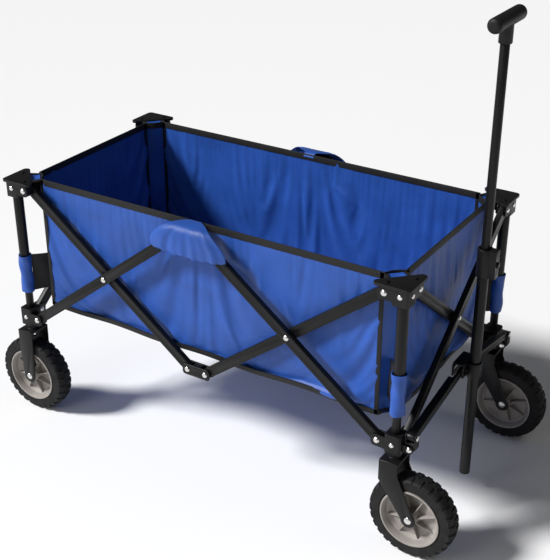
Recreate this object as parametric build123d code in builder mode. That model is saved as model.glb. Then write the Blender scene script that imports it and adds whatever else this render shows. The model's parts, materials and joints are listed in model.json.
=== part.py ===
from build123d import *
import os
from math import cos, hypot, radians, sin

# Folding utility wagon: six congruent scissor crosses carry four telescoping corner posts,
# a cloth tub, two fixed rear wheels, two caster front wheels and a swinging pull handle.
# +X is the handle end, +Y the far long side, +Z up; the origin is on the ground,
# under the middle of the wagon's outline.

# Scissor frame
bar_span = 405.0  # run of one scissor bar between its end pivots, wagon open
bar_rise = 313.0  # rise of the same bar, wagon open
pivot_offset = 32.0  # post axis to the nearest bar pivot
centre_gap = 44.0  # between the two pivots of a middle joint
bar_width = 22.0
bar_thick = 12.0
bar_wall = 1.5
bar_side = 7.0  # each bar's middle plane from the plane of the posts

# Rivets
rivet_r = 4.0
rivet_head_r = 6.5
rivet_head = 2.2
fixed_fit = 0.1
running_fit = 0.3

# Corner brackets and middle joints
cheek = 3.0
cheek_clear = 1.0
cheek_height = 25.0
cheek_reach = 12.0  # past the bar pivot
block_corner_r = 6.0
block_below = 20.0
block_above = 14.0
socket_depth = 14.0
plate_tip = 22.0  # top plate, out past the post axis
plate_leg = 66.0
plate_thick = 5.0
plate_corner_r = 9.0
plate_screw_r = 4.5
plate_screw_head = 1.5

# Corner posts
outer_post_r = 11.0
outer_post_wall = 1.6
inner_post_r = 8.6
inner_post_wall = 1.4
outer_post_lift = 60.0  # outer post's foot above the lower bar pivots
inner_post_top_gap = 14.0  # under the closed end of the upper bracket's socket

# Wheels and forks
wheel_r = 89.0
rim_r = 61.0
rim_wall = 5.0
rim_width = 36.0
tyre_width = 42.0
tyre_shoulder = 9.0
hub_r = 13.0
hub_width = 46.0
web_thick = 5.0
rib_count = 8
rib_thick = 2.5
rib_width = 24.0
axle_r = 5.0
fork_clear = 1.0
leg_thick = 3.0
leg_width = 31.0
crown_clear = 25.0  # tyre to the crown
fork_crown_thick = 5.0
stem_length = 12.0  # crown to the lower bracket
fork_crown_length = 40.0
stem_r = 7.0
stem_collar_r = 12.0
caster_trail = 47.0  # front axle ahead of the swivel axis

# Pull handle
knuckle_inset = 8.0  # knuckle's middle from the post plane
link_ahead = 29.5  # plane of the links ahead of the post plane
swing_drop = 8.0  # swing axis below the lower bar pivots
knuckle_half = 8.5
knuckle_rise = 24.0  # link pivot above the swing axis
link_size = 16.0
link_wall = 1.5
link_lift = 10.0  # degrees above level, wagon open
tongue_length = 40.0
tongue_thick = 7.0
hub_pin_side = 12.0
hub_plate = 3.0
hub_half_length = 30.0
hub_half_height = 14.0
hub_slot_travel = 32.0
pole_r = 11.0
pole_wall = 1.5
pole_inner_r = 8.8
pole_inner_wall = 1.4
pole_bottom = 42.0
pole_tube_length = 514.0
collar_r = 15.0
collar_height = 58.0
pole_overlap = 136.0  # thin tube inside the thick one, pulled out
inner_pole_length = 558.0
grip_lift = 15.0  # middle of the T grip above the thin tube's end
grip_r = 14.0
grip_length = 125.0
grip_neck_r = 12.5
grip_neck_length = 42.0
button_r = 5.6
button_length = 12.0
button_travel = 3.0
button_boss = 26.0

# Cloth tub
cloth = 3.0
cloth_gap = 0.3
wall_inset = 21.5  # wall's middle from the post plane
corner_setback = 50.0
hem_lift = 30.0  # hem above the lower bar pivots
floor_lift = 2.0
sleeve_gap = 2.0  # outer post's foot to the sleeve
sleeve_length = 88.0
sleeve_thick = 2.5
fin_thick = 2.0

# Worked out from the sizes above
fork_crown_top = 2 * wheel_r + crown_clear + fork_crown_thick
lower_pivot_height = fork_crown_top + stem_length + block_below
post_length = 2 * pivot_offset + 2 * bar_span + centre_gap
post_width = 2 * pivot_offset + bar_span
upper_pivot_height = lower_pivot_height + bar_rise
outer_post_bottom = lower_pivot_height + outer_post_lift
rim_height = upper_pivot_height + block_above + plate_thick
hem_height = lower_pivot_height + hem_lift
sleeve_bottom = outer_post_bottom + sleeve_gap
sleeve_top = sleeve_bottom + sleeve_length
bar_length = hypot(bar_span, bar_rise)
middle_x = -caster_trail / 2
half_l = post_length / 2
half_w = post_width / 2
cheek_mid = bar_thick / 2 + cheek_clear + cheek / 2
cheek_out = cheek_mid + cheek / 2
block_half = bar_side + cheek_out
pole_top = pole_bottom + pole_tube_length
inner_pole_bottom = pole_top - pole_overlap
inner_pole_top = inner_pole_bottom + inner_pole_length
grip_height = inner_pole_top + grip_lift
swing_height = lower_pivot_height - swing_drop
link_x = middle_x + half_l + link_ahead
pole_x = link_x + link_size / 2 + cheek_clear + hub_plate + pole_r + 0.6
knuckle_y = half_w - knuckle_inset
link_length = (knuckle_y - hub_pin_side) / cos(radians(link_lift))
link_pivot_height = swing_height + knuckle_rise
hub_height = link_pivot_height + link_length * sin(radians(link_lift))

MIN = (Align.CENTER, Align.CENTER, Align.MIN)
MAX = (Align.CENTER, Align.CENTER, Align.MAX)
ends = {"front": 1, "rear": -1}
sides = {"far": 1, "near": -1}
os.makedirs("parts", exist_ok=True)


def save(part, label):
    part.label = label
    export_step(part, f"parts/{label}.step")


def add_rivet(plane, low, high, heads=(True, True)):
    """A rivet along the plane's normal, its grip from low to high."""
    with Locations(plane.offset(low - fixed_fit)):
        Cylinder(rivet_r, high - low + 2 * fixed_fit, align=MIN)
    if heads[0]:
        with Locations(plane.offset(low - fixed_fit)):
            Cylinder(rivet_head_r, rivet_head, align=MAX)
    if heads[1]:
        with Locations(plane.offset(high + fixed_fit)):
            Cylinder(rivet_head_r, rivet_head, align=MIN)


def make_bar(label, low, high, across, carries_cross):
    """A flat-oval tube between two pivots; across points to the bar that crosses it."""
    along = (Vector(*high) - Vector(*low)).normalized()
    middle = (Vector(*high) + Vector(*low)) / 2
    section = Plane(origin=middle, x_dir=across, z_dir=along)
    face = Plane(origin=middle, x_dir=along, z_dir=across)
    cross_fit = fixed_fit if carries_cross else running_fit
    with BuildPart() as bar:
        with BuildSketch(section):
            Rectangle(bar_thick, bar_width)
            Rectangle(bar_thick - 2 * bar_wall, bar_width - 2 * bar_wall, mode=Mode.SUBTRACT)
        extrude(amount=bar_length / 2 + bar_width / 2, both=True)
        with BuildSketch(face):
            SlotCenterToCenter(bar_length, bar_width)
        extrude(amount=bar_thick, both=True, mode=Mode.INTERSECT)
        with BuildSketch(face):
            with Locations((-bar_length / 2, 0), (bar_length / 2, 0)):
                Circle(rivet_r + running_fit)
            Circle(rivet_r + cross_fit)
        extrude(amount=bar_thick, both=True, mode=Mode.SUBTRACT)
        if carries_cross:
            half = bar_thick / 2
            far_face = 2 * bar_side + half
            add_rivet(face, -half, far_face + running_fit)
            with BuildSketch(face.offset(half + fixed_fit)):
                Circle(rivet_head_r + 2)
                Circle(rivet_r + fixed_fit, mode=Mode.SUBTRACT)
            extrude(amount=2 * bar_side - bar_thick - fixed_fit - running_fit)
    save(bar.part, label)


def make_scissors():
    """Long sides: two crosses each. Short ends: one cross each."""
    low, high = lower_pivot_height, upper_pivot_height
    for side, s in sides.items():
        for end, e in ends.items():
            near_x = middle_x + e * centre_gap / 2
            far_x = near_x + e * bar_span
            y_in = s * (half_w - bar_side)
            y_out = s * (half_w + bar_side)
            out = (0, s, 0)
            make_bar(
                f"{side}_{end}_inner_bar",
                (near_x, y_in, low), (far_x, y_in, high), out, True,
            )
            make_bar(
                f"{side}_{end}_outer_bar",
                (far_x, y_out, low), (near_x, y_out, high), out, False,
            )
    half = bar_span / 2
    for end, e in ends.items():
        x_in = middle_x + e * (half_l - bar_side)
        x_out = middle_x + e * (half_l + bar_side)
        out = (e, 0, 0)
        make_bar(f"{end}_inner_bar", (x_in, half, low), (x_in, -half, high), out, True)
        make_bar(f"{end}_outer_bar", (x_out, -half, low), (x_out, half, high), out, False)


def make_bracket(side, end, level):
    """A corner bracket: a block round the post and two pairs of cheeks, one round each bar."""
    s, e = sides[side], ends[end]
    x, y = middle_x + e * half_l, s * half_w
    lower = level == "lower"
    z = lower_pivot_height if lower else upper_pivot_height
    arm = pivot_offset + cheek_reach
    # long-side bars: outer ones end at the lower brackets, inner ones at the upper
    y_arm = y + s * bar_side * (1 if lower else -1)
    # end bars: the outer one runs from near low to far high
    outer_here = (side == "near") == lower
    x_arm = x + e * bar_side * (1 if outer_here else -1)
    above = block_below if lower else block_above
    long_plane = Plane(origin=(x - e * pivot_offset, y_arm, z), x_dir=(1, 0, 0), z_dir=(0, s, 0))
    end_plane = Plane(origin=(x_arm, y - s * pivot_offset, z), x_dir=(0, 1, 0), z_dir=(e, 0, 0))
    # an arm set inwards has a thick outer cheek, so that it ends flush with the block
    long_extra = 0 if lower else 2 * bar_side
    end_extra = 0 if outer_here else 2 * bar_side
    arms = ((long_plane, e, long_extra), (end_plane, s, end_extra))
    shift = (pivot_offset - cheek_reach) / 2
    with BuildPart() as bracket:
        with BuildSketch(Plane(origin=(x, y, z - block_below))):
            RectangleRounded(2 * block_half, 2 * block_half, block_corner_r)
        extrude(amount=block_below + above)
        for plane, toward, extra in arms:
            # the sketch's X runs along the world axis, so the arm's middle lies toward the post
            for k in (-1, 1):
                with BuildSketch(plane.offset(k * cheek_mid - cheek / 2)):
                    with Locations((toward * shift, 0)):
                        RectangleRounded(arm, cheek_height, cheek_reach * 0.6)
                extrude(amount=cheek + (extra if k > 0 else 0))
        if lower and end == "front":
            for k in (-1, 1):
                lug_y = s * knuckle_y + k * (knuckle_half + cheek_clear / 2 + cheek / 2)
                lug_x = x_arm + e * (cheek_mid - cheek / 2)
                reach = link_x - lug_x
                with BuildSketch(Plane(origin=(link_x, lug_y - cheek / 2, swing_height),
                                       x_dir=(1, 0, 0), z_dir=(0, 1, 0))):
                    with Locations((-reach / 2, 0)):
                        Rectangle(reach, 2 * knuckle_half)
                    Circle(knuckle_half)
                extrude(amount=cheek)
        if not lower:
            tip, leg = plate_tip, plate_leg
            with BuildSketch(Plane.XY.offset(z + block_above)) as outline:
                with BuildLine():
                    Polyline((x + e * tip, y + s * tip), (x - e * leg, y + s * tip),
                             (x + e * tip, y - s * leg), close=True)
                make_face()
                fillet(outline.vertices(), plate_corner_r)
            extrude(amount=plate_thick)
        # post socket and caster or axle stem socket
        if lower:
            with Locations((x, y, z + above)):
                Cylinder(inner_post_r + fixed_fit, block_below + above - socket_depth, align=MAX,
                         mode=Mode.SUBTRACT)
            stem_fit = running_fit if end == "front" else fixed_fit
            with Locations((x, y, z - block_below)):
                Cylinder(stem_r + stem_fit, socket_depth, align=MIN, mode=Mode.SUBTRACT)
        else:
            with Locations((x, y, z - block_below)):
                Cylinder(outer_post_r + fixed_fit, block_below + above - 4, align=MIN, mode=Mode.SUBTRACT)
        # pivot holes, then the rivets in them
        for plane, toward, extra in arms:
            with Locations(plane.offset(-cheek_out - 1)):
                Cylinder(rivet_r + fixed_fit, 2 * cheek_out + extra + 2, align=MIN, mode=Mode.SUBTRACT)
        for plane, toward, extra in arms:
            add_rivet(plane, -cheek_out, cheek_out + extra)
        if lower and end == "front":
            lug_out = knuckle_half + cheek_clear / 2 + cheek
            pin = Plane(origin=(link_x, s * knuckle_y, swing_height), x_dir=(1, 0, 0), z_dir=(0, 1, 0))
            with Locations(pin):
                Cylinder(rivet_r + fixed_fit, 2 * lug_out + 1, mode=Mode.SUBTRACT)
            add_rivet(pin, -lug_out, lug_out)
        if not lower:
            screws = [(x - e * leg * 0.45, y + s * tip * 0.35), (x + e * tip * 0.35, y - s * leg * 0.45)]
            for sx, sy in screws:
                with Locations((sx, sy, z + block_above + plate_thick + fixed_fit)):
                    Cylinder(plate_screw_r, plate_screw_head, align=MIN)
    save(bracket.part, f"{side}_{end}_{level}_bracket")


def make_posts(side, end):
    """The thin tube stands in the lower bracket and slides in the wide one."""
    x, y = middle_x + ends[end] * half_l, sides[side] * half_w
    socket_top = upper_pivot_height + block_above - 4
    low = lower_pivot_height - block_below + socket_depth + fixed_fit
    with BuildPart() as inner_post:
        with Locations((x, y, low)):
            height = socket_top - inner_post_top_gap - low
            Cylinder(inner_post_r, height, align=MIN)
            Cylinder(inner_post_r - inner_post_wall, height, align=MIN, mode=Mode.SUBTRACT)
    save(inner_post.part, f"{side}_{end}_inner_post")
    with BuildPart() as outer_post:
        with Locations((x, y, outer_post_bottom)):
            height = socket_top - fixed_fit - outer_post_bottom
            Cylinder(outer_post_r, height, align=MIN)
            Cylinder(outer_post_r - outer_post_wall, height, align=MIN, mode=Mode.SUBTRACT)
    save(outer_post.part, f"{side}_{end}_outer_post")


def make_middle_joint(side, level):
    """Two plates and a web hold the ends of the front and rear bars."""
    s = sides[side]
    top = level == "top"
    z = upper_pivot_height if top else lower_pivot_height
    y = s * (half_w + bar_side * (1 if top else -1))
    plane = Plane(origin=(middle_x, y, z), x_dir=(1, 0, 0), z_dir=(0, s, 0))
    length = centre_gap + 2 * cheek_reach
    with BuildPart() as joint:
        for k in (-1, 1):
            with BuildSketch(plane.offset(k * cheek_mid - cheek / 2)):
                RectangleRounded(length, cheek_height, cheek_reach * 0.6)
            extrude(amount=cheek)
        with BuildSketch(plane):
            Rectangle(centre_gap - bar_width - 2 * cheek_clear, cheek_height - 2)
        extrude(amount=cheek_mid, both=True)
        pins = [plane.shift_origin(plane.from_local_coords(Vector(k * centre_gap / 2, 0, 0)))
                for k in (-1, 1)]
        for pin in pins:
            with Locations(pin):
                Cylinder(rivet_r + fixed_fit, 2 * cheek_out + 1, mode=Mode.SUBTRACT)
        for pin in pins:
            add_rivet(pin, -cheek_out, cheek_out)
    save(joint.part, f"{side}_{level}_joint")


def make_fork(side, end):
    """A crown, two legs, a stem into the lower bracket, and the axle through the legs."""
    x, y = middle_x + ends[end] * half_l, sides[side] * half_w
    trail = caster_trail if end == "front" else 0.0
    leg_y = hub_width / 2 + fork_clear
    crown_low = fork_crown_top - fork_crown_thick
    bracket_low = lower_pivot_height - block_below
    gap = running_fit if end == "front" else fixed_fit
    with BuildPart() as fork:
        with Locations((x, y, crown_low)):
            Box(fork_crown_length, 2 * (leg_y + leg_thick), fork_crown_thick, align=MIN)
        for k in (-1, 1):
            start = y + leg_y if k > 0 else y - leg_y - leg_thick
            leg_face = Plane(origin=(x, start + leg_thick, 0), x_dir=(1, 0, 0), z_dir=(0, -1, 0))
            with BuildSketch(leg_face):
                with BuildLine():
                    half = fork_crown_length / 2
                    Polyline((-half, fork_crown_top), (half, fork_crown_top), (half, crown_low - 22),
                             (trail + leg_width / 2, wheel_r), (trail - leg_width / 2, wheel_r),
                             (-half, crown_low - 40), close=True)
                make_face()
                with Locations((trail, wheel_r)):
                    Circle(leg_width / 2)
            extrude(amount=leg_thick)
        with Locations((x, y, fork_crown_top)):
            Cylinder(stem_collar_r, bracket_low - gap - fork_crown_top, align=MIN)
            Cylinder(stem_r, bracket_low + socket_depth - 1 - fork_crown_top, align=MIN)
        axle = Plane(origin=(x + trail, y, wheel_r), x_dir=(1, 0, 0), z_dir=(0, 1, 0))
        with Locations(axle):
            Cylinder(axle_r + fixed_fit, 2 * (leg_y + leg_thick) + 1, mode=Mode.SUBTRACT)
        for k in (-1, 1):
            with Locations(axle.offset(k * (leg_y + leg_thick + fixed_fit))):
                Cylinder(rivet_head_r + 1.5, rivet_head, align=MIN if k > 0 else MAX)
        with Locations(axle):
            Cylinder(axle_r, 2 * (leg_y + leg_thick + fixed_fit))
    save(fork.part, f"{side}_{end}_fork")


def make_wheel(side, end):
    """A dished, ribbed rim and the tyre on it."""
    x, y = middle_x + ends[end] * half_l, sides[side] * half_w
    x += caster_trail if end == "front" else 0.0
    axle = Plane(origin=(x, y, wheel_r), x_dir=(1, 0, 0), z_dir=(0, 1, 0))
    with BuildPart() as rim:
        with Locations(axle):
            Cylinder(hub_r, hub_width - 2 * running_fit)
            Cylinder(rim_r - rim_wall / 2, web_thick)
        with BuildSketch(axle.offset(-rim_width / 2)):
            Circle(rim_r)
            Circle(rim_r - rim_wall, mode=Mode.SUBTRACT)
        extrude(amount=rim_width)
        with BuildSketch(axle.offset(-rib_width / 2)):
            with PolarLocations(rim_r / 2, rib_count):
                Rectangle(rim_r - rim_wall, rib_thick)
        extrude(amount=rib_width)
        with Locations(axle):
            Cylinder(axle_r + running_fit, hub_width + 1, mode=Mode.SUBTRACT)
    save(rim.part, f"{side}_{end}_rim")
    with BuildPart() as tyre:
        with BuildSketch(axle.offset(-tyre_width / 2)):
            Circle(wheel_r)
            Circle(rim_r + fixed_fit, mode=Mode.SUBTRACT)
        extrude(amount=tyre_width)
        outer = tyre.edges().filter_by(GeomType.CIRCLE).group_by(SortBy.RADIUS)[-1]
        chamfer(outer, tyre_shoulder / 2, tyre_shoulder)
    save(tyre.part, f"{side}_{end}_tyre")


def make_knuckle(side):
    """Turns on a pin along Y in the bracket's lugs; carries the link on a pin along X."""
    s = sides[side]
    y = s * knuckle_y
    half_x = link_size / 2 + cheek_clear / 2 + cheek
    block_top = knuckle_rise - link_size / 2 - cheek_clear - 1
    swing = Plane(origin=(link_x, y, swing_height), x_dir=(1, 0, 0), z_dir=(0, -1, 0))
    pivot = Plane(origin=(link_x, y, link_pivot_height), x_dir=(0, 1, 0), z_dir=(1, 0, 0))
    with BuildPart() as knuckle:
        with BuildSketch(swing):
            Circle(knuckle_half)
            with Locations((0, block_top / 2)):
                Rectangle(2 * half_x, block_top)
        extrude(amount=knuckle_half, both=True)
        for k in (-1, 1):
            inner = half_x - cheek
            with BuildSketch(pivot.offset(inner if k > 0 else -half_x)):
                Circle(knuckle_half)
                with Locations((0, -knuckle_rise / 2 + block_top / 4)):
                    Rectangle(2 * knuckle_half, knuckle_rise - block_top / 2)
            extrude(amount=cheek)
        with Locations(swing):
            Cylinder(rivet_r + running_fit, 4 * knuckle_half, mode=Mode.SUBTRACT)
        with Locations(pivot):
            Cylinder(rivet_r + fixed_fit, 2 * half_x + 1, mode=Mode.SUBTRACT)
        add_rivet(pivot, -half_x, half_x, heads=(False, True))
    save(knuckle.part, f"{side}_knuckle")


def make_link(side):
    """A square tube from the knuckle; its tongue passes the other link's tongue in the hub."""
    s = sides[side]
    lift = radians(link_lift)
    along = Vector(0, -s * cos(lift), sin(lift))
    start = Vector(link_x, s * knuckle_y, link_pivot_height)
    face = Plane(origin=start, x_dir=along, z_dir=(1, 0, 0))
    tube_end = link_length - tongue_length
    layer = link_size / 2 - tongue_thick  # tongue's inner face from the links' plane
    with BuildPart() as link:
        with BuildSketch(Plane(origin=start, x_dir=(1, 0, 0), z_dir=along)):
            Rectangle(link_size, link_size)
            Rectangle(link_size - 2 * link_wall, link_size - 2 * link_wall, mode=Mode.SUBTRACT)
        extrude(amount=tube_end)
        with BuildSketch(face):
            Circle(link_size / 2)
        extrude(amount=link_size / 2, both=True)
        with BuildSketch(face.offset(layer if s < 0 else -link_size / 2)):
            with Locations((tube_end + tongue_length / 2 - 4, 0)):
                Rectangle(tongue_length + 8, link_size - 0.5)
            with Locations((link_length, 0)):
                Circle(link_size / 2 - 0.25)
        extrude(amount=tongue_thick)
        with Locations(face):
            Cylinder(rivet_r + running_fit, link_size + 1, mode=Mode.SUBTRACT)
        pin = face.shift_origin(start + along * link_length)
        hole_fit = running_fit if s < 0 else fixed_fit
        with Locations(pin):
            Cylinder(rivet_r + hole_fit, link_size + 1, mode=Mode.SUBTRACT)
        if s > 0:
            back = link_size / 2 + cheek_clear + hub_plate
            add_rivet(pin, -back - running_fit, -layer - fixed_fit, heads=(True, False))
    save(link.part, f"{side}_link")


def make_hub():
    """Front and back plates joined over the top, on a barrel round the pole."""
    gap = link_size / 2 + cheek_clear
    with BuildPart() as hub:
        with BuildSketch(Plane(origin=(link_x, 0, hub_height), x_dir=(0, 1, 0), z_dir=(1, 0, 0))):
            RectangleRounded(2 * hub_half_length, 2 * hub_half_height, 5)
        extrude(amount=gap + hub_plate, both=True)
        with Locations((link_x, 0, hub_height)):
            Box(2 * gap, 2 * hub_half_length + 1, 2 * hub_half_height + 1, mode=Mode.SUBTRACT)
        with Locations((link_x, 0, hub_height + hub_half_height - 1)):
            Box(2 * (gap + hub_plate), 2 * hub_half_length - 8, 4, align=MIN)
        with Locations((pole_x, 0, hub_height)):
            Cylinder(collar_r, 2 * hub_half_height + 6)
            Cylinder(pole_r + fixed_fit, 2 * hub_half_height + 8, mode=Mode.SUBTRACT)
        near_pin = Plane(origin=(link_x, -hub_pin_side, hub_height), x_dir=(0, 1, 0), z_dir=(1, 0, 0))
        with Locations(near_pin.offset(gap)):
            Cylinder(rivet_r + fixed_fit, hub_plate + 1, align=MIN, mode=Mode.SUBTRACT)
        slot_mid = hub_pin_side - hub_slot_travel / 2 + 1
        with BuildSketch(Plane(origin=(link_x - gap - hub_plate - 1, 0, hub_height), x_dir=(0, 1, 0),
                               z_dir=(1, 0, 0))):
            with Locations((slot_mid, 0)):
                SlotCenterToCenter(hub_slot_travel, 2 * (rivet_r + running_fit))
        extrude(amount=hub_plate + 2, mode=Mode.SUBTRACT)
        with Locations(near_pin.offset(link_size / 2 - tongue_thick)):
            Cylinder(rivet_r, tongue_thick + cheek_clear + hub_plate + fixed_fit, align=MIN)
        with Locations(near_pin.offset(gap + hub_plate + fixed_fit)):
            Cylinder(rivet_head_r - 1.5, rivet_head, align=MIN)
    save(hub.part, "handle_hub")


def make_pole():
    """Two telescoping tubes, the collar with its lock button, and the T grip."""
    with BuildPart() as outer_tube:
        with Locations((pole_x, 0, pole_bottom)):
            Cylinder(pole_r, pole_top - pole_bottom, align=MIN)
            Cylinder(pole_r - pole_wall, pole_top - pole_bottom, align=MIN, mode=Mode.SUBTRACT)
        # the moulded collar stands round the tube's top end
        collar_low = pole_top - collar_height + 4
        with BuildSketch(Plane.XY.offset(collar_low)):
            with Locations((pole_x, 0)):
                Circle(collar_r)
            with Locations((pole_x + button_boss / 2, 0)):
                Rectangle(button_boss, 2 * (button_r + 3.5))
            with Locations((pole_x, 0)):
                Circle(pole_r + fixed_fit, mode=Mode.SUBTRACT)
        extrude(amount=collar_height)
        with Locations(Plane(origin=(pole_x + button_boss, 0, collar_low + collar_height / 2),
                             x_dir=(0, 1, 0), z_dir=(1, 0, 0))):
            Cylinder(button_r + running_fit, button_length, align=MAX, mode=Mode.SUBTRACT)
    save(outer_tube.part, "handle_outer_tube")
    with BuildPart() as button:
        with Locations(Plane(origin=(pole_x + button_boss + button_travel + 1, 0,
                                     pole_top + 4 - collar_height / 2), x_dir=(0, 1, 0), z_dir=(1, 0, 0))):
            Cylinder(button_r, button_length, align=MAX)
    save(button.part, "lock_button")
    with BuildPart() as inner_tube:
        with Locations((pole_x, 0, inner_pole_bottom)):
            Cylinder(pole_inner_r, inner_pole_top - inner_pole_bottom, align=MIN)
            Cylinder(pole_inner_r - pole_inner_wall, inner_pole_top - inner_pole_bottom, align=MIN,
                     mode=Mode.SUBTRACT)
    save(inner_tube.part, "handle_inner_tube")
    with BuildPart() as grip:
        with Locations(Plane(origin=(pole_x, 0, grip_height), x_dir=(1, 0, 0), z_dir=(0, 1, 0))):
            Cylinder(grip_r, grip_length)
        fillet(grip.edges(), grip_r * 0.6)
        with Locations((pole_x, 0, grip_height)):
            Cylinder(grip_neck_r, grip_neck_length, align=MAX)
        neck_end = grip_height - grip_neck_length - 1
        with Locations((pole_x, 0, neck_end)):
            Cylinder(pole_inner_r + fixed_fit, inner_pole_top + fixed_fit - neck_end, align=MIN,
                     mode=Mode.SUBTRACT)
    save(grip.part, "handle_grip")


def make_corner(x, y, e, s):
    """Solids of one corner's cloth."""
    a, b = wall_inset, corner_setback
    mid = (a + b) / 2
    across = (b - a) * 2 ** 0.5
    normal = Vector(e, s, 0).normalized()
    centre = Vector(x - e * mid, y - s * mid, 0)
    sleeve_r = outer_post_r + running_fit
    with BuildPart() as corner:
        with BuildSketch(Plane(origin=centre, x_dir=normal, z_dir=(0, 0, 1)).offset(hem_height)):
            Rectangle(cloth, across - 2 * (cloth + cloth_gap))
        extrude(amount=rim_height - hem_height)
        with BuildSketch(Plane(origin=(x, y, sleeve_bottom), x_dir=normal, z_dir=(0, 0, 1))):
            Circle(sleeve_r + sleeve_thick)
            reach = mid * 2 ** 0.5
            with Locations((-reach / 2, 0)):
                Rectangle(reach, fin_thick)
            Circle(sleeve_r, mode=Mode.SUBTRACT)
        extrude(amount=sleeve_top - sleeve_bottom)
        near_edge = (plate_leg - plate_tip) / 2 + 1
        with BuildSketch(Plane.XY.offset(rim_height - cloth)):
            with BuildLine():
                Polyline((x - e * b, y - s * a), (x - e * a, y - s * b),
                         (x - e * (near_edge - 8), y - s * (near_edge + 8)),
                         (x - e * (near_edge + 8), y - s * (near_edge - 8)), close=True)
            make_face()
        extrude(amount=cloth)
    return corner.part


def make_tub():
    """Cloth walls, floor and corners; each wall hangs from the brackets it is sewn to."""
    height = rim_height - hem_height
    wall_l = 2 * (half_l - corner_setback)
    wall_w = 2 * (half_w - corner_setback)
    for side, s in sides.items():
        with BuildPart() as wall:
            with Locations((middle_x, s * (half_w - wall_inset), hem_height)):
                Box(wall_l, cloth, height, align=MIN)
        save(wall.part, f"{side}_wall")
    for end, e in ends.items():
        x = middle_x + e * half_l
        near_corner = make_corner(x, -half_w, e, -1)
        far_corner = make_corner(x, half_w, e, 1)
        with BuildPart() as end_wall:
            with Locations((x - e * wall_inset, 0, hem_height)):
                Box(cloth, wall_w, height, align=MIN)
            add(near_corner)
        save(end_wall.part, f"{end}_wall")
        save(far_corner, f"far_{end}_corner_cloth")
    edge = wall_inset + cloth / 2 + cloth_gap
    bevel = corner_setback + wall_inset - 2 * edge + cloth
    with BuildPart() as floor:
        with BuildSketch(Plane.XY.offset(hem_height + floor_lift)) as outline:
            with Locations((middle_x, 0)):
                Rectangle(2 * (half_l - edge), 2 * (half_w - edge))
            chamfer(outline.vertices(), bevel)
        extrude(amount=cloth)
    save(floor.part, "tub_floor")


make_scissors()
for side in sides:
    for end in ends:
        make_bracket(side, end, "lower")
        make_bracket(side, end, "upper")
        make_posts(side, end)
        make_fork(side, end)
        make_wheel(side, end)
    make_middle_joint(side, "bottom")
    make_middle_joint(side, "top")
    make_knuckle(side)
    make_link(side)
make_hub()
make_pole()
make_tub()
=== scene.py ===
import bpy, bmesh, json, math, random
from mathutils import Matrix, Vector


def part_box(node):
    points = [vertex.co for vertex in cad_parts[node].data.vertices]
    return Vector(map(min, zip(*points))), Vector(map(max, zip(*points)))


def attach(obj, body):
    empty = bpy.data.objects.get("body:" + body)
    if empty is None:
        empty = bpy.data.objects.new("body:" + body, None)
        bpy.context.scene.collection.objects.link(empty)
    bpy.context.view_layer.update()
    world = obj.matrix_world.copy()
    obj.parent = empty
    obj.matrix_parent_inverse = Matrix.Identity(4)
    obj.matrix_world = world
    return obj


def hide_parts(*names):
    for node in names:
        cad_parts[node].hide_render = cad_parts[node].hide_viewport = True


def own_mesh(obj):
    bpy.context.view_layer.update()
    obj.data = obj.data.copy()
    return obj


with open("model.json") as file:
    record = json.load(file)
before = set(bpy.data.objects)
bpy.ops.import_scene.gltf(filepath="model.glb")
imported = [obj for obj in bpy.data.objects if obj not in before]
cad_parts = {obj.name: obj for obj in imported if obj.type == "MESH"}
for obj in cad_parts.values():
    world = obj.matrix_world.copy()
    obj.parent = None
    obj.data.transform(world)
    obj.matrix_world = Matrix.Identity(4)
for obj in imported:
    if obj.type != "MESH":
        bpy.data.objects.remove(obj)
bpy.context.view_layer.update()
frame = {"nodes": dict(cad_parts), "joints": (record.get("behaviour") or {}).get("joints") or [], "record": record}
nodes = frame["nodes"]
bodyOf = {n: b for b, ns in frame["record"]["behaviour"]["bodies"].items() for n in ns}
joints = {j["name"]: j for j in frame["joints"]}
sides = {"near": -1, "far": 1}
ends = {"rear": -1, "front": 1}


# Materials

def newMaterial(name, color, roughness, metallic=0.0, sheen=0.0, specular=0.5):
    mat = bpy.data.materials.new(name)
    mat.use_nodes = True
    bsdf = mat.node_tree.nodes["Principled BSDF"]
    bsdf.inputs["Base Color"].default_value = (*color, 1)
    bsdf.inputs["Roughness"].default_value = roughness
    bsdf.inputs["Metallic"].default_value = metallic
    bsdf.inputs["Sheen Weight"].default_value = sheen
    bsdf.inputs["Specular IOR Level"].default_value = specular
    return mat, bsdf


def addNode(mat, kind, **settings):
    node = mat.node_tree.nodes.new(kind)
    for key, value in settings.items():
        if key in node.inputs:
            node.inputs[key].default_value = value
        else:
            setattr(node, key, value)
    return node


def link(mat, a, out, b, into):
    mat.node_tree.links.new(a.outputs[out], b.inputs[into])


def objectCoords(mat):
    return addNode(mat, "ShaderNodeTexCoord")


def noiseOn(mat, coords, scale, detail=3.0, roughness=0.55, out="Object"):
    noise = addNode(mat, "ShaderNodeTexNoise", Scale=scale, Detail=detail, Roughness=roughness)
    link(mat, coords, out, noise, "Vector")
    return noise


def rampOn(mat, source, out, stops):
    ramp = addNode(mat, "ShaderNodeValToRGB")
    elements = ramp.color_ramp.elements
    while len(elements) < len(stops):
        elements.new(0.5)
    for element, (place, color) in zip(elements, stops):
        element.position = place
        element.color = (*color, 1)
    link(mat, source, out, ramp, "Fac")
    return ramp


def rangeOn(mat, source, out, low, high):
    node = addNode(mat, "ShaderNodeMapRange")
    node.inputs["To Min"].default_value = low
    node.inputs["To Max"].default_value = high
    link(mat, source, out, node, "Value")
    return node


def bumpOn(mat, bsdf, source, out, strength, distance, before=None):
    bump = addNode(mat, "ShaderNodeBump", Strength=strength, Distance=distance)
    link(mat, source, out, bump, "Height")
    if before:
        link(mat, before, "Normal", bump, "Normal")
    link(mat, bump, "Normal", bsdf, "Normal")
    return bump


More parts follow.
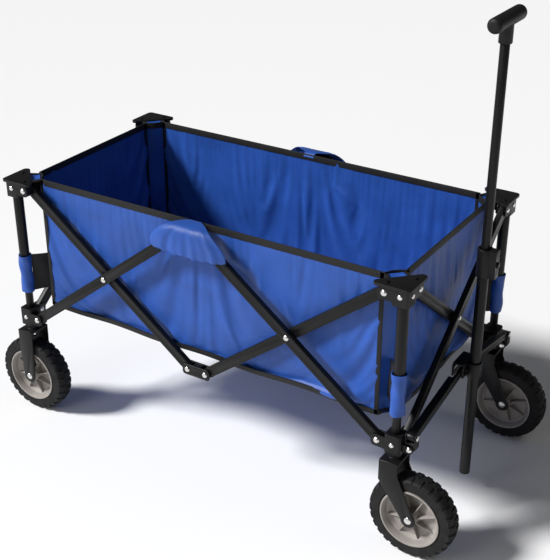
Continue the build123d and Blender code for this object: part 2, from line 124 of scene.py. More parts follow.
def paintedSteel(name, color, roughness, orangePeel=0.25):
    # powder coat: faint orange peel, dust in the hollows, rubbed patches
    mat, bsdf = newMaterial(name, color, roughness, specular=0.22)
    coords = objectCoords(mat)
    peel = noiseOn(mat, coords, 900, 2)
    dust = noiseOn(mat, coords, 24, 6, 0.65)
    shade = rampOn(mat, dust, "Fac", [(0.3, [c * 0.8 for c in color]), (0.62, color),
                                      (0.85, [c * 1.6 + 0.002 for c in color])])
    link(mat, shade, "Color", bsdf, "Base Color")
    rough = rangeOn(mat, dust, "Fac", roughness - 0.12, roughness + 0.2)
    link(mat, rough, "Result", bsdf, "Roughness")
    bumpOn(mat, bsdf, peel, "Fac", orangePeel, 0.0004)
    return mat


def mouldedPlastic(name, color, roughness, grain=1400, strength=0.3, specular=0.25):
    mat, bsdf = newMaterial(name, color, roughness, specular=specular)
    coords = objectCoords(mat)
    fine = noiseOn(mat, coords, grain, 3)
    broad = noiseOn(mat, coords, 30, 5, 0.6)
    shade = rampOn(mat, broad, "Fac", [(0.3, [c * 0.85 for c in color]),
                                       (0.7, [c * 1.12 for c in color])])
    link(mat, shade, "Color", bsdf, "Base Color")
    rough = rangeOn(mat, broad, "Fac", roughness - 0.08, roughness + 0.12)
    link(mat, rough, "Result", bsdf, "Roughness")
    bumpOn(mat, bsdf, fine, "Fac", strength, 0.0003)
    return mat


def wovenCloth(name, color, threads, roughness, sheen, dark=0.72, light=1.18):
    # a plain weave follows the piece's own UV map, which is laid out in metres
    mat, bsdf = newMaterial(name, color, roughness, sheen=sheen, specular=0.35)
    coords = objectCoords(mat)
    weave = []
    for direction in ("X", "Y"):
        wave = addNode(mat, "ShaderNodeTexWave", wave_type="BANDS", bands_direction=direction,
                       Scale=threads, Distortion=0.6, Detail=1.0)
        wave.inputs["Detail Scale"].default_value = 1.5
        link(mat, coords, "UV", wave, "Vector")
        weave.append(wave)
    both = addNode(mat, "ShaderNodeMath", operation="MULTIPLY")
    link(mat, weave[0], "Fac", both, 0)
    link(mat, weave[1], "Fac", both, 1)
    patch = noiseOn(mat, coords, 9, 5, 0.6)
    shade = rampOn(mat, patch, "Fac", [(0.28, [c * dark for c in color]), (0.55, color),
                                       (0.78, [min(1, c * light) for c in color])])
    thread = addNode(mat, "ShaderNodeMixRGB", blend_type="MULTIPLY")
    thread.inputs[0].default_value = 0.35
    link(mat, shade, "Color", thread, 1)
    link(mat, both, "Value", thread, 2)
    link(mat, thread, "Color", bsdf, "Base Color")
    rough = rangeOn(mat, patch, "Fac", roughness - 0.1, roughness + 0.12)
    link(mat, rough, "Result", bsdf, "Roughness")
    crease = noiseOn(mat, coords, 38, 6, 0.6)
    first = addNode(mat, "ShaderNodeBump", Strength=0.25, Distance=0.002)
    link(mat, crease, "Fac", first, "Height")
    bumpOn(mat, bsdf, both, "Value", 0.35, 0.0003, before=first)
    return mat


def rubber(name, color, roughness):
    mat, bsdf = newMaterial(name, color, roughness, specular=0.15)
    coords = objectCoords(mat)
    pores = noiseOn(mat, coords, 700, 4)
    dust = noiseOn(mat, coords, 40, 6, 0.7)
    shade = rampOn(mat, dust, "Fac", [(0.35, color), (0.75, [c * 1.7 + 0.006 for c in color])])
    link(mat, shade, "Color", bsdf, "Base Color")
    bumpOn(mat, bsdf, pores, "Fac", 0.4, 0.0005)
    return mat


steelBlack = paintedSteel("blackPowderCoat", (0.006, 0.006, 0.0065), 0.34)
forkBlack = paintedSteel("forkPowderCoat", (0.008, 0.008, 0.0082), 0.30, 0.4)
nylonBlack = mouldedPlastic("blackNylon", (0.006, 0.006, 0.0065), 0.42)
gripBlack = mouldedPlastic("softGrip", (0.008, 0.008, 0.008), 0.5, 900, 0.5)
rimGrey = mouldedPlastic("warmGreyPlastic", (0.29, 0.265, 0.245), 0.36, 1200, 0.15, 0.4)
tyreBlack = rubber("foamRubber", (0.009, 0.009, 0.0095), 0.6)
royalBlue = wovenCloth("royalBluePolyester", (0.024, 0.108, 0.50), 260, 0.42, 0.03)
bindingBlack = wovenCloth("blackBindingTape", (0.007, 0.007, 0.008), 420, 0.6, 0.03)
screwDark = newMaterial("darkScrew", (0.03, 0.03, 0.03), 0.35, metallic=1.0)[0]
rivetSteel = newMaterial("bareRivet", (0.72, 0.71, 0.69), 0.28, metallic=1.0)[0]
coords = objectCoords(rivetSteel)
scuff = noiseOn(rivetSteel, coords, 500, 4)
scuffRange = rangeOn(rivetSteel, scuff, "Fac", 0.18, 0.42)
link(rivetSteel, scuffRange, "Result", rivetSteel.node_tree.nodes["Principled BSDF"], "Roughness")
print("materials made")


# Helpers for pieces

def deselectAll():
    if bpy.context.object and bpy.context.object.mode != "OBJECT":
        bpy.ops.object.mode_set(mode="OBJECT")
    bpy.ops.object.select_all(action="DESELECT")


def activate(piece):
    deselectAll()
    piece.select_set(True)
    bpy.context.view_layer.objects.active = piece


def applyAll(piece):
    activate(piece)
    for modifier in list(piece.modifiers):
        bpy.ops.object.modifier_apply(modifier=modifier.name)


def settle(piece):
    activate(piece)
    bpy.ops.object.transform_apply(location=True, rotation=True, scale=True)


def joinPieces(pieces, name):
    activate(pieces[0])
    for piece in pieces:
        piece.select_set(True)
    bpy.ops.object.join()
    joined = bpy.context.object
    joined.name = name
    joined.data.name = name
    return joined


def layGrid(name, columns, rows, place, mats, spread=(1.0, 1.0), index=0):
    # a flat grid whose points are laid out by place(u, v); its UV map is in metres
    deselectAll()
    bpy.ops.mesh.primitive_grid_add(x_subdivisions=columns, y_subdivisions=rows, size=1)
    sheet = bpy.context.object
    sheet.name = name
    for mat in mats:
        sheet.data.materials.append(mat)
    for vert in sheet.data.vertices:
        vert.co = place(vert.co.x + 0.5, vert.co.y + 0.5)
    for item in sheet.data.uv_layers.active.data:
        item.uv = (item.uv[0] * spread[0], item.uv[1] * spread[1])
    for face in sheet.data.polygons:
        face.material_index = index
    return sheet


def closeUp(piece):
    activate(piece)
    bpy.ops.object.mode_set(mode="EDIT")
    bpy.ops.mesh.select_all(action="SELECT")
    bpy.ops.mesh.remove_doubles(threshold=0.00001)
    bpy.ops.mesh.fill_holes(sides=16)
    bpy.ops.mesh.select_all(action="SELECT")
    bpy.ops.mesh.normals_make_consistent(inside=False)
    bpy.ops.object.mode_set(mode="OBJECT")


def thicken(piece, thickness, sub=0):
    solid = piece.modifiers.new("clothThickness", "SOLIDIFY")
    solid.thickness = thickness
    solid.offset = 0
    if sub:
        soft = piece.modifiers.new("softFolds", "SUBSURF")
        soft.levels = sub
        soft.render_levels = sub
    applyAll(piece)


def copyTo(piece, name, offset):
    copied = bpy.data.objects.new(name, piece.data.copy())
    copied.data.name = name
    bpy.context.scene.collection.objects.link(copied)
    for vert in copied.data.vertices:
        vert.co += offset
    return copied


def smooth(piece, angle=35):
    activate(piece)
    bpy.ops.object.shade_smooth_by_angle(angle=math.radians(angle))


def islandsOf(bm):
    seen = set()
    for start in bm.verts:
        if start in seen:
            continue
        seen.add(start)
        stack, island = [start], []
        while stack:
            vert = stack.pop()
            island.append(vert)
            for edge in vert.link_edges:
                other = edge.other_vert(vert)
                if other not in seen:
                    seen.add(other)
                    stack.append(other)
        yield island


# Frame pieces: a merged, rounded copy of each node, with its rivets picked out in steel

finishSettings = {"rivetAcross": (0.0095, 0.0165), "domeShare": 0.55, "screwAcross": 0.0095,
                  "screwHigh": 0.0025, "roundError": 2e-4, "segments": 2, "sharp": 32}
rounding = {"tube": 0.0008, "bar": 0.0012, "bracket": 0.0005, "joint": 0.0012, "fork": 0.0014,
            "hub": 0.001, "grip": 0.002}


def shapeFastener(island):
    low = Vector([min(v.co[i] for v in island) for i in range(3)])
    high = Vector([max(v.co[i] for v in island) for i in range(3)])
    size = high - low
    near = finishSettings["roundError"]
    flat = size[2] < finishSettings["screwHigh"]
    if abs(size[0] - size[1]) < near and flat and size[0] < finishSettings["screwAcross"]:
        return "screw"
    for axis in range(3):
        across = [size[i] for i in range(3) if i != axis]
        low2, high2 = finishSettings["rivetAcross"]
        if abs(across[0] - across[1]) < near and low2 < across[0] < high2:
            middle = (low + high) / 2
            for vert in island:
                if min(vert.co[axis] - low[axis], high[axis] - vert.co[axis]) < 2e-5:
                    offset = vert.co - middle
                    offset[axis] = 0
                    if offset.length > across[0] * 0.3:
                        vert.co -= offset * (1 - finishSettings["domeShare"])
            return "rivet"
    return None


def finishNode(node, mat, width, fasteners=True):
    piece = bpy.data.objects.new(node + "_finished", nodes[node].data.copy())
    bpy.context.scene.collection.objects.link(piece)
    activate(piece)
    bpy.ops.object.mode_set(mode="EDIT")
    bpy.ops.mesh.select_all(action="SELECT")
    bpy.ops.mesh.remove_doubles(threshold=0.00002)
    bpy.ops.mesh.dissolve_limited(angle_limit=math.radians(1.0))
    bpy.ops.object.mode_set(mode="OBJECT")
    piece.data.materials.clear()
    piece.data.materials.append(mat)
    piece.data.materials.append(rivetSteel)
    piece.data.materials.append(screwDark)
    bm = bmesh.new()
    bm.from_mesh(piece.data)
    for face in bm.faces:
        face.material_index = 0
    for island in islandsOf(bm):
        kind = shapeFastener(island) if fasteners else None
        if kind:
            for vert in island:
                for face in vert.link_faces:
                    face.material_index = 1 if kind == "rivet" else 2
    bm.to_mesh(piece.data)
    bm.free()
    bevel = piece.modifiers.new("edgeRounding", "BEVEL")
    bevel.width = width
    bevel.segments = finishSettings["segments"]
    bevel.limit_method = "ANGLE"
    bevel.angle_limit = math.radians(finishSettings["sharp"])
    bevel.use_clamp_overlap = False
    applyAll(piece)
    smooth(piece, 40)
    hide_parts(node)
    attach(piece, bodyOf[node])
    return piece


finishOf = {"bar": (steelBlack, "bar"), "post": (steelBlack, "tube"), "link": (steelBlack, "tube"),
            "bracket": (nylonBlack, "bracket"), "joint": (nylonBlack, "joint"),
            "knuckle": (nylonBlack, "joint"), "fork": (forkBlack, "fork")}
for node in nodes:
    kind = node.split("_")[-1]
    if kind in finishOf:
        mat, edges = finishOf[kind]
        finishNode(node, mat, rounding[edges])
for node in ("handle_outer_tube", "handle_inner_tube"):
    finishNode(node, steelBlack, rounding["tube"])
finishNode("handle_hub", nylonBlack, rounding["hub"])
finishNode("lock_button", nylonBlack, rounding["hub"], fasteners=False)
finishNode("handle_grip", gripBlack, rounding["grip"])
print("frame pieces finished")


# Wheels

wheel = {"steps": 168, "blocks": 28, "tyreR": 0.0868, "knob": 0.0020, "rimR": 0.061, "halfTyre": 0.0205,
         "ribs": 8, "ribStart": 0.0145, "ribHigh": (0.0330, 0.0150), "ribThick": (0.0028, 0.0018)}


def centreOf(node):
    low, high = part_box(node)
    return (Vector(low) + Vector(high)) / 2


def lathe(name, profile, steps, mat):
    # a ring of (radius, along the axle) points, spun round the Y axis
    deselectAll()
    bpy.ops.mesh.primitive_circle_add(vertices=len(profile), radius=0.01, fill_type="NOTHING")
    piece = bpy.context.object
    piece.name = name
    piece.data.materials.append(mat)
    for vert, (r, y) in zip(piece.data.vertices, profile):
        vert.co = Vector((r, y, 0))
    bpy.ops.object.mode_set(mode="EDIT")
    bpy.ops.mesh.select_all(action="SELECT")
    bpy.ops.mesh.spin(steps=steps, dupli=False, angle=math.tau, center=(0, 0, 0), axis=(0, 1, 0))
    bpy.ops.mesh.select_all(action="SELECT")
    bpy.ops.mesh.remove_doubles(threshold=0.00001)
    bpy.ops.mesh.normals_make_consistent(inside=False)
    bpy.ops.object.mode_set(mode="OBJECT")
    return piece


def makeTyre():
    r, h, t = wheel["tyreR"], wheel["halfTyre"], wheel["rimR"] + 0.0002
    profile = [(t, -h + 0.003), (t + 0.004, -h), (t + 0.012, -h + 0.0002), (r - 0.006, -h + 0.0010),
               (r - 0.002, -h + 0.0045), (r, -h + 0.012), (r + 0.0002, -0.003), (r + 0.0002, 0.003),
               (r, h - 0.012), (r - 0.002, h - 0.0045), (r - 0.006, h - 0.0010),
               (t + 0.012, h - 0.0002), (t + 0.004, h), (t, h - 0.003)]
    tyre = lathe("tyreMaster", profile, wheel["steps"], tyreBlack)
    blocks = wheel["blocks"]
    bpy.ops.object.mode_set(mode="EDIT")
    bpy.ops.mesh.select_mode(type="FACE")
    bpy.ops.mesh.select_all(action="DESELECT")
    bpy.ops.object.mode_set(mode="OBJECT")
    for face in tyre.data.polygons:
        radius = math.hypot(face.center.x, face.center.z)
        phase = math.atan2(face.center.z, face.center.x) / math.tau * blocks + 8
        if radius > r - 0.0045 and abs(face.center.y) > 0.0032:
            face.select = (phase + (0.5 if face.center.y > 0 else 0)) % 1 < 0.62
        elif radius > r - 0.001:
            face.select = (phase + 0.25) % 1 < 0.45
    bpy.ops.object.mode_set(mode="EDIT")
    bpy.ops.mesh.inset(thickness=0.0008, depth=wheel["knob"])
    bpy.ops.object.mode_set(mode="OBJECT")
    smooth(tyre, 28)
    return tyre


def makeRim():
    r = wheel["rimR"]
    side = [(r, 0.0170), (r + 0.0012, 0.0208), (r + 0.0004, 0.0220), (r - 0.0022, 0.0216),
            (r - 0.0045, 0.0180), (r - 0.0070, 0.0085), (r - 0.0140, 0.0032), (0.0185, 0.0026),
            (0.0155, 0.0080), (0.0146, 0.0205), (0.0130, 0.0225), (0.0053, 0.0225)]
    profile = side + [(a, -b) for a, b in reversed(side)]
    rim = lathe("rimMaster", profile, 96, rimGrey)
    parts = [rim]
    length = r - 0.0215
    for k in range(wheel["ribs"]):
        turn = math.tau * k / wheel["ribs"] + 0.3
        deselectAll()
        bpy.ops.mesh.primitive_cube_add(size=1)
        rib = bpy.context.object
        rib.data.materials.append(rimGrey)
        for vert in rib.data.vertices:
            # each rib slopes down from the hub to the dish
            outer = vert.co.x > 0
            vert.co = Vector((wheel["ribStart"] + length * (vert.co.x + 0.5),
                              vert.co.y * wheel["ribHigh"][outer], vert.co.z * wheel["ribThick"][outer]))
        edge = rib.modifiers.new("ribRounding", "BEVEL")
        edge.width = 0.0006
        edge.segments = 2
        applyAll(rib)
        rib.rotation_euler = (0, -turn, 0)
        settle(rib)
        parts.append(rib)
    rim = joinPieces(parts, "rimMaster")
    smooth(rim, 35)
    return rim


tyreMaster, rimMaster = makeTyre(), makeRim()
for side in sides:
    for end in ends:
        corner = side + "_" + end
        centre = centreOf(corner + "_tyre")
        for kind, master in (("tyre", tyreMaster), ("rim", rimMaster)):
            piece = copyTo(master, corner + "_" + kind + "Made", centre)
            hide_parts(corner + "_" + kind)
            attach(piece, corner + "_wheel")
for master in (tyreMaster, rimMaster):
    bpy.data.objects.remove(master)
print("wheels made")


# Cloth tub: every edge comes from the frame's own boxes

tub = {"thick": 0.0016, "tape": 0.013, "tapeHalf": 0.0016, "hemTape": 0.010, "endTape": 0.008,
       "slack": 0.009, "cellsAlong": 150, "cellsUp": 54, "simFrames": 28, "mostIn": 0.017,
       "mostOut": 0.0042, "fullLength": 0.82, "hems": 0.02}
clothMats = [royalBlue, bindingBlack]
down = Vector((0, 0, -1))
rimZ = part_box("near_wall")[1].z
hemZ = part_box("near_wall")[0].z
postX = {e: centreOf(f"near_{e}_outer_post").x for e in ends}
postY = {s: centreOf(f"{s}_front_outer_post").y for s in sides}
midX = (postX["front"] + postX["rear"]) / 2
setback = postX["front"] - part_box("near_wall")[1].x
wallInset = abs(postY["near"] - centreOf("near_wall").y)

# the cross bars' run and rise from the fold joint to the inner head, and the fold's largest turn
foot = Vector(joints["frame_fold"]["pos_m"])
head = Vector(joints["near_front_inner_head"]["pos_m"])
barRun, barRise = abs(head.x - foot.x), head.z - foot.z
foldTurn = math.radians(max(abs(v) for v in joints["frame_fold"]["range_deg"]))


# folds as (from along, from up, to along, to up, half width, depth in); a minus depth stands out
longFolds = [(0.46, 0.92, 0.12, 0.96, 0.020, -0.0040), (0.45, 0.84, 0.18, 0.62, 0.017, 0.0075),
             (0.53, 0.92, 0.80, 0.40, 0.012, 0.0085), (0.50, 0.78, 0.47, 0.10, 0.030, 0.0080),
             (0.56, 0.80, 0.62, 0.12, 0.022, 0.0070), (0.60, 0.97, 0.97, 0.78, 0.020, 0.0065),
             (0.02, 0.92, 0.22, 0.30, 0.024, 0.0085), (0.03, 0.60, 0.14, 0.12, 0.018, 0.0050),
             (0.98, 0.16, 0.70, 0.06, 0.016, 0.0070), (0.97, 0.90, 0.84, 0.26, 0.022, 0.0085),
             (0.42, 0.80, 0.30, 0.22, 0.020, 0.0060), (0.74, 0.62, 0.90, 0.16, 0.026, -0.0036),
             (0.34, 0.50, 0.20, 0.10, 0.026, -0.0034), (0.66, 0.30, 0.86, 0.05, 0.018, 0.0050)]
endFolds = [(0.02, 0.94, 0.45, 0.30, 0.020, 0.0080), (0.98, 0.94, 0.55, 0.34, 0.020, 0.0080),
            (0.50, 0.90, 0.50, 0.20, 0.030, 0.0050), (0.04, 0.30, 0.30, 0.06, 0.016, 0.0060),
            (0.96, 0.30, 0.72, 0.06, 0.016, 0.0060), (0.25, 0.95, 0.70, 0.80, 0.014, 0.0050)]


def foldDepth(folds, x, z, length, height):
    depth = 0.0
    for u0, v0, u1, v1, width, deep in folds:
        ax, az = u0 * length, v0 * height
        dx, dz = u1 * length - ax, v1 * height - az
        t = ((x - ax) * dx + (z - az) * dz) / (dx * dx + dz * dz)
        if 0 < t < 1:
            wide = width * (0.5 + t)
            away = math.hypot(x - ax - t * dx, z - az - t * dz) / wide
            depth += deep * math.exp(-away * away) * math.sin(math.pi * t ** 0.6)
    return depth


def makeWall(name, start, stop, inward, folds, seed):
    # a sheet sewn at its edges and cut a little too large, which buckles between them
    along = stop - start
    length, height = along.length, rimZ - hemZ
    cellsX, cellsZ = max(30, round(tub["cellsAlong"] * length / tub["fullLength"])), tub["cellsUp"]
    rng = random.Random(seed)
    waves = [(rng.uniform(0, math.tau), rng.uniform(2, 5), rng.uniform(-3, 3)) for _ in range(5)]

    def place(u, v):
        point = start + along * u
        point.z = hemZ + height * v
        inner = min(1.0, 9 * min(u, 1 - u), 5 * min(v, 1 - v))
        belly = math.sin(math.pi * u) ** 0.7 * math.sin(math.pi * v) ** 0.8
        ripple = sum(math.sin(p + math.tau * (a * u + b * v)) for p, a, b in waves) * 0.0011
        crease = foldDepth(folds, u * length, v * height, length, height)
        point += inward * (0.003 * belly + (ripple + crease) * inner)
        point.z += 0.0020 * math.sin(u * math.tau * 3.5 + seed) * (1 - v) ** 6
        return point

    wall = layGrid(name, cellsX, cellsZ, place, clothMats, (length, height))
    rest = [v.co.copy() for v in wall.data.vertices]
    flatY = start.dot(inward)
    group = wall.vertex_groups.new(name="sewn")
    row = cellsX + 1
    edge = [i for i in range(len(rest)) if i % row in (0, cellsX) or i // row in (0, cellsZ)]
    group.add(edge, 1.0, "REPLACE")
    buckle = wall.modifiers.new("buckle", "CLOTH")
    buckle.settings.vertex_group_mass = "sewn"
    buckle.settings.shrink_min = -tub["slack"]
    buckle.settings.quality = 6
    buckle.settings.mass = 0.25
    buckle.settings.tension_stiffness = 40
    buckle.settings.compression_stiffness = 25
    buckle.settings.bending_stiffness = 0.6
    buckle.settings.air_damping = 3
    buckle.point_cache.frame_end = tub["simFrames"] + 1
    for step in range(1, tub["simFrames"] + 1):
        bpy.context.scene.frame_set(step)
    applyAll(wall)
    bpy.context.scene.frame_set(1)
    wall.vertex_groups.clear()
    for vert in wall.data.vertices:
        # the bars leave little room outside the cloth
        across = vert.co.dot(inward) - flatY
        most = tub["mostIn"] if across > 0 else tub["mostOut"]
        vert.co += inward * (most * math.tanh(across / most) - across)
    return wall, cellsX, cellsZ


def foldTape(name, path, inward, down, width, half):
    # binding tape folded over an edge and following it
    run = [0.0]
    for was, point in zip(path, path[1:]):
        run.append(run[-1] + (point - was).length)
    profile = [(-half, width), (-half, 0.0006), (-half * 0.6, -0.0010), (half * 0.6, -0.0010),
               (half, 0.0006), (half, width), (half * 0.45, width), (half * 0.45, 0.002),
               (-half * 0.45, 0.002), (-half * 0.45, width), (-half, width)]

    def place(u, v):
        point = path[round(u * (len(path) - 1))]
        side, depth = profile[round(v * (len(profile) - 1))]
        return point + inward * side + down * depth

    tape = layGrid(name, len(path) - 1, len(profile) - 1, place, clothMats, (run[-1], 0.04), 1)
    closeUp(tape)
    return tape


def finishWall(name, wall, cellsX, cellsZ, inward):
    # the edges are read before the sheet gets its thickness
    row = cellsX + 1
    at = [v.co.copy() for v in wall.data.vertices]
    top, hem = at[cellsZ * row:], at[:row]
    left, right = at[::row], at[cellsX::row]
    along = (top[-1] - top[0]).normalized()
    thicken(wall, tub["thick"], sub=1)
    half = tub["tapeHalf"]
    tapes = [foldTape("rimTape", top, inward, down, tub["tape"], half),
             foldTape("hemTape", hem, inward, -down, tub["hemTape"], half),
             foldTape("leftTape", left, inward, along, tub["endTape"], half),
             foldTape("rightTape", right, inward, -along, tub["endTape"], half)]
    piece = joinPieces([wall] + tapes, name)
    smooth(piece, 60)
    return piece


for index, (side, s) in enumerate(sides.items()):
    y = postY[side] - s * wallInset
    start, stop = Vector((postX["rear"] + setback, y, 0)), Vector((postX["front"] - setback, y, 0))
    inward = Vector((0, -s, 0))
    wall, cellsX, cellsZ = makeWall(side + "_wallSheet", start, stop, inward, longFolds, 3 + index)
    piece = finishWall(side + "_wallCloth", wall, cellsX, cellsZ, inward)
    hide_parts(side + "_wall")
    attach(piece, side + "_top")
    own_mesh(piece)
    print("cloth wall", side)

for index, (end, e) in enumerate(ends.items()):
    x = postX[end] - e * wallInset
    near = postY["near"] + setback
    start, stop = Vector((x, near, 0)), Vector((x, -near, 0))
    inward = Vector((-e, 0, 0))
    wall, cellsX, cellsZ = makeWall(end + "_wallSheet", start, stop, inward, endFolds, 11 + index)
    piece = finishWall(end + "_wallCloth", wall, cellsX, cellsZ, inward)
    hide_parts(end + "_wall")
    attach(piece, f"near_{end}_upper")
    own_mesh(piece)
    print("cloth wall", end)


# Corner cloths: a panel across the corner, its gusset under the top plate, the post's sleeve and fin

cornerCloth = {"low": 0.302, "high": 0.390, "sleeveR": 0.0132, "bag": 0.0007, "bow": 0.005, "flat": 0.12,
               "gussetTape": 0.007, "gussetReach": 0.030, "gussetHalf": 0.026}


def makeCorner(side, end):
    s, e = sides[side], ends[end]
    post = Vector((postX[end], postY[side], 0))
    out = Vector((e, s, 0)).normalized()
    tangent = Vector((-s, e, 0)).normalized()
    a = Vector((postX[end] - e * setback, postY[side] - s * wallInset, 0))
    b = Vector((postX[end] - e * wallInset, postY[side] - s * setback, 0))
    if (b - a).dot(tangent) < 0:
        a, b = b, a
    inner = (a + b) / 2
    rng = random.Random(20 + s + 3 * e)
    phase = rng.uniform(0, 6)
    low, high = cornerCloth["low"], cornerCloth["high"]

    def panelPlace(u, v):
        point = a.lerp(b, u)
        point.z = hemZ + (rimZ - hemZ) * v
        bow = cornerCloth["bow"] + 0.0015 * math.sin(v * 17 + phase)
        return point - out * math.sin(math.pi * u) * bow

    def gussetPlace(u, v):
        edge = post - out * cornerCloth["gussetReach"] + tangent * cornerCloth["gussetHalf"] * (2 * u - 1)
        point = a.lerp(b, u).lerp(edge, v)
        point.z = rimZ - 0.0035 - 0.004 * math.sin(math.pi * u) * math.sin(math.pi * v)
        return point

    def sleevePlace(u, v):
        angle = math.tau * u
        bag = math.sin(3 * angle + 9 * v + phase) + 0.8 * math.sin(14 * v + 2 * angle + phase)
        r = cornerCloth["sleeveR"] + cornerCloth["bag"] * bag + 0.0006 * math.cos(v * math.tau)
        z = low + (high - low) * v
        return Vector((post.x + r * math.cos(angle), post.y + r * math.sin(angle), z))

    def finPlace(u, v):
        reach = (post - inner).length + cornerCloth["bow"] - cornerCloth["sleeveR"]
        point = post - out * (cornerCloth["sleeveR"] + reach * u)
        point += tangent * 0.0015 * math.sin(5 * v + 4 * u + phase)
        point.z = low + (high - low) * v + 0.004 * u * (0.5 - v)
        return point

    panel = layGrid("panel", 10, 36, panelPlace, clothMats, (0.04, 0.3))
    gusset = layGrid("gusset", 10, 8, gussetPlace, clothMats, (0.05, 0.03))
    sleeve = layGrid("sleeve", 36, 30, sleevePlace, clothMats, (0.083, 0.088))
    # painted shade: the fin takes the black tape cloth, standing for the blue fin that lies in deep shade beside
    # the post
    fin = layGrid("fin", 8, 14, finPlace, clothMats, (0.04, 0.088), 1)
    closeUp(sleeve)
    thicken(panel, tub["thick"])
    thicken(gusset, tub["thick"])
    thicken(sleeve, 0.0014)
    thicken(fin, 0.0020)
    rimPath = [panelPlace(k / 8, 1) for k in range(9)]
    hemPath = [panelPlace(k / 8, 0) for k in range(9)]
    half, gussetTape = tub["tapeHalf"], cornerCloth["gussetTape"]
    gussetEdges = [[gussetPlace(u, k / 8) for k in range(9)] for u in (0, 1)]
    tapes = [foldTape("rimTape", rimPath, out, down, tub["tape"], half),
             foldTape("hemTape", hemPath, out, -down, tub["hemTape"], half),
             foldTape("gussetTape", gussetEdges[0], -down, tangent, gussetTape, half),
             foldTape("gussetTape", gussetEdges[1], -down, -tangent, gussetTape, half)]
    piece = joinPieces([panel, gusset, sleeve, fin] + tapes, f"{side}_{end}_cornerCloth")
    smooth(piece, 60)
    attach(piece, f"{side}_{end}_upper")
    if side == "far":
        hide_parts(f"far_{end}_corner_cloth")


for side in sides:
    for end in ends:
        makeCorner(side, end)
print("corner cloths made")


# Floor mat in three overlapping sections, one for each end and one for the middle

floorMat = {"thick": 0.0016, "step": 0.0021, "overlap": 0.010, "cut": 0.026, "quilt": 0.0007,
            "channels": 5}
floorLow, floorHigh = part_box("tub_floor")
sectionBodies = ["near_rear_upper", "near_top", "near_front_upper"]
for k, body in enumerate(sectionBodies):
    width = (floorHigh.x - floorLow.x) / 3
    x0 = floorLow.x + width * k - (floorMat["overlap"] if k else 0)
    x1 = floorLow.x + width * (k + 1)
    z = floorHigh.z - 0.0010 + floorMat["step"] * (1 - k)

    def floorPlace(u, v):
        x = x0 + u * (x1 - x0)
        cut = max(0.0, floorMat["cut"] - min(x - floorLow.x, floorHigh.x - x))
        y = (2 * v - 1) * (floorHigh.y - cut)
        swell = math.sin(math.pi * u) * abs(math.sin(math.pi * floorMat["channels"] * v)) ** 0.4
        return Vector((x, y, z + floorMat["quilt"] * swell))

    section = layGrid(f"floorSection{k + 1}", 26, 50, floorPlace, clothMats, (x1 - x0, 0.42))
    thicken(section, floorMat["thick"])
    smooth(section, 50)
    if k == 1:
        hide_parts("tub_floor")
    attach(section, body)
    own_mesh(section)
print("floor made")


# Frayed flap over each top middle joint

flap = {"width": 0.184, "drop": 0.060, "fray": 0.008, "threads": 34, "columns": 60, "stand": 0.0032,
        "neck": 0.14, "thick": 0.0012, "flatHigh": 0.115, "area": 0.0126}


def makeFlap(side, s):
    low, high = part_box(side + "_top_joint")
    edge = (high.y if s > 0 else low.y) + s * flap["stand"]
    wallY = postY[side] - s * wallInset
    line = [(wallY - s * 0.003, rimZ - 0.006), (wallY, rimZ + 0.0015), (wallY + s * 0.008, rimZ + 0.0045),
            (wallY + s * 0.020, rimZ + 0.003), (edge - s * 0.008, rimZ + 0.001),
            (edge - s * 0.001, rimZ - 0.007), (edge + s * 0.001, rimZ - 0.018),
            (edge + s * 0.0012, rimZ - 0.031), (edge + s * 0.0008, rimZ - 0.045),
            (edge, rimZ - flap["drop"])]
    rng = random.Random(31 + s)
    ragged = [rng.uniform(-1, 1) * flap["fray"] * 0.3 for _ in range(flap["columns"] + 1)]

    def place(u, v):
        y, z = line[round(v * (len(line) - 1))]
        flare = min(1, max(0, v - 0.25) / 0.6) ** 0.8
        half = flap["width"] / 2 * (flap["neck"] + (1 - flap["neck"]) * flare)
        loose = max(0.0, v - 0.4)
        ripple = 0.0022 * math.sin(u * 26 + 2 * s) * loose + 0.0016 * math.sin(u * 47 + s) * loose
        arch = 0.010 * (2 * u - 1) ** 2 * loose
        tuck = max(0.0, abs(2 * u - 1) - 0.72) ** 1.4 * (0.035 if v > 0.3 else 0)
        end = ragged[round(u * flap["columns"])] if v > 0.99 else 0
        return Vector((midX + (2 * u - 1) * half, y + s * (ripple - tuck), z + arch + end))

    cloth = layGrid(side + "_flapSheet", flap["columns"], len(line) - 1, place, clothMats,
                    (flap["width"], 0.13))
    thicken(cloth, flap["thick"], sub=1)
    parts = [cloth]
    # loose threads along the raw edge
    for k in range(flap["threads"]):
        root = place(round(rng.uniform(0.03, 0.97) * flap["columns"]) / flap["columns"], 1)
        drop = rng.uniform(0.003, flap["fray"])
        deselectAll()
        bpy.ops.mesh.primitive_cone_add(vertices=4, radius1=0.0002, radius2=0.0005, depth=drop,
                                        location=root - Vector((0, 0, drop / 2 - 0.001)),
                                        rotation=(rng.uniform(-0.12, 0.12), rng.uniform(-0.5, 0.5), 0))
        thread = bpy.context.object
        for mat in clothMats:
            thread.data.materials.append(mat)
        settle(thread)
        parts.append(thread)
    piece = joinPieces(parts, side + "_jointFlap")
    smooth(piece, 60)
    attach(piece, side + "_top")


for side, s in sides.items():
    makeFlap(side, s)
print("flaps made")


# Domed rivet heads that hold each bracket's block to its post

blockRivet = {"r": 0.0055, "high": 0.0022, "sides": 28, "top": 0.72, "dome": 0.0009, "face": 0.017}


def makeRivetHead():
    deselectAll()
    bpy.ops.mesh.primitive_cylinder_add(vertices=blockRivet["sides"], radius=blockRivet["r"],
                                        depth=blockRivet["high"])
    rivet = bpy.context.object
    rivet.data.materials.append(rivetSteel)
    for vert in rivet.data.vertices:
        if vert.co.z > 0:
            vert.co.x *= blockRivet["top"]
            vert.co.y *= blockRivet["top"]
    dome = rivet.modifiers.new("dome", "BEVEL")
    dome.width = blockRivet["dome"]
    dome.segments = 3
    dome.limit_method = "ANGLE"
    applyAll(rivet)
    smooth(rivet, 50)
    return rivet


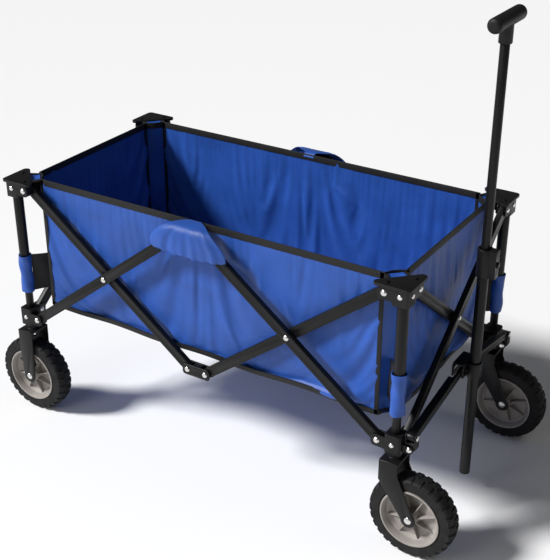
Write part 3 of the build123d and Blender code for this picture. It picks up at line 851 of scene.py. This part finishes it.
rivetMaster = makeRivetHead()
for side, s in sides.items():
    for end, e in ends.items():
        for level in ("lower", "upper"):
            cross = joints[f"{side}_{end}_cross"]["pos_m"]
            z = cross[2] + (barRise / 2 if level == "upper" else -barRise / 2)
            face = blockRivet["face"]
            faces = [(Vector((0, s, 0)), Vector((postX[end], postY[side] + s * face, z)))]
            if level == "upper" or end == "rear":
                faces.append((Vector((e, 0, 0)), Vector((postX[end] + e * face, postY[side], z))))
            heads = []
            for normal, point in faces:
                head = copyTo(rivetMaster, "rivetHead", Vector((0, 0, 0)))
                turned = normal.to_track_quat("Z", "Y").to_matrix().to_4x4()
                head.data.transform(Matrix.Translation(point + normal * blockRivet["high"] / 2) @ turned)
                heads.append(head)
            piece = joinPieces(heads, f"{side}_{end}_{level}_postRivets")
            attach(piece, f"{side}_{end}_{level}")
bpy.data.objects.remove(rivetMaster)
print("post rivets made")


# Floor, light and camera

view = {"place": (1.1705, -1.8242, 1.4808), "turn": 32.224, "down": 27.4, "focalShare": 1126.6 / 550}
light = {"key": 4.5, "keySoft": 12, "world": 0.08, "fill": 12, "glint": 3}


def aim(lamp, place, target):
    lamp.location = place
    lamp.rotation_euler = (Vector(target) - Vector(place)).to_track_quat("-Z", "Y").to_euler()


def addSun(name, place, power, soft):
    data = bpy.data.lights.new(name, "SUN")
    data.energy = power
    data.angle = math.radians(soft)
    lamp = bpy.data.objects.new(name, data)
    bpy.context.scene.collection.objects.link(lamp)
    aim(lamp, place, (0, 0, 0))


def addPanel(name, place, target, size, power):
    data = bpy.data.lights.new(name, "AREA")
    data.size = size
    data.energy = power
    lamp = bpy.data.objects.new(name, data)
    bpy.context.scene.collection.objects.link(lamp)
    aim(lamp, place, target)


deselectAll()
bpy.ops.mesh.primitive_plane_add(size=16, location=(0, 0, -0.0005))
ground = bpy.context.object
ground.name = "studioFloor"
ground.data.materials.append(newMaterial("paleFloor", (0.9, 0.9, 0.9), 0.95, specular=0.1)[0])
world = bpy.data.worlds.new("studioLight")
bpy.context.scene.world = world
world.use_nodes = True
world.node_tree.nodes["Background"].inputs[0].default_value = (1, 1, 1, 1)
world.node_tree.nodes["Background"].inputs[1].default_value = light["world"]
addSun("key", (-1.8, -1.5, 2.0), light["key"], light["keySoft"])
addPanel("fill", (-0.6, -2.6, 1.6), (0, 0, 0.4), 1.4, light["fill"])
addPanel("glint", (1.9, 0.4, 2.2), (0.3, 0, 0.4), 0.8, light["glint"])
bpy.context.scene.view_settings.view_transform = "Standard"

camera = bpy.data.cameras.new("photoView")
cameraObject = bpy.data.objects.new("photoView", camera)
bpy.context.scene.collection.objects.link(cameraObject)
camera.sensor_fit = "HORIZONTAL"
camera.sensor_width = 36
camera.lens = view["focalShare"] * 36
camera.clip_start = 0.05
turn = Matrix.Rotation(math.radians(view["turn"]), 4, "Z")
tilt = Matrix.Rotation(math.radians(90 - view["down"]), 4, "X")
cameraObject.matrix_world = Matrix.Translation(view["place"]) @ turn @ tilt
bpy.context.scene.camera = cameraObject
print("stage set")
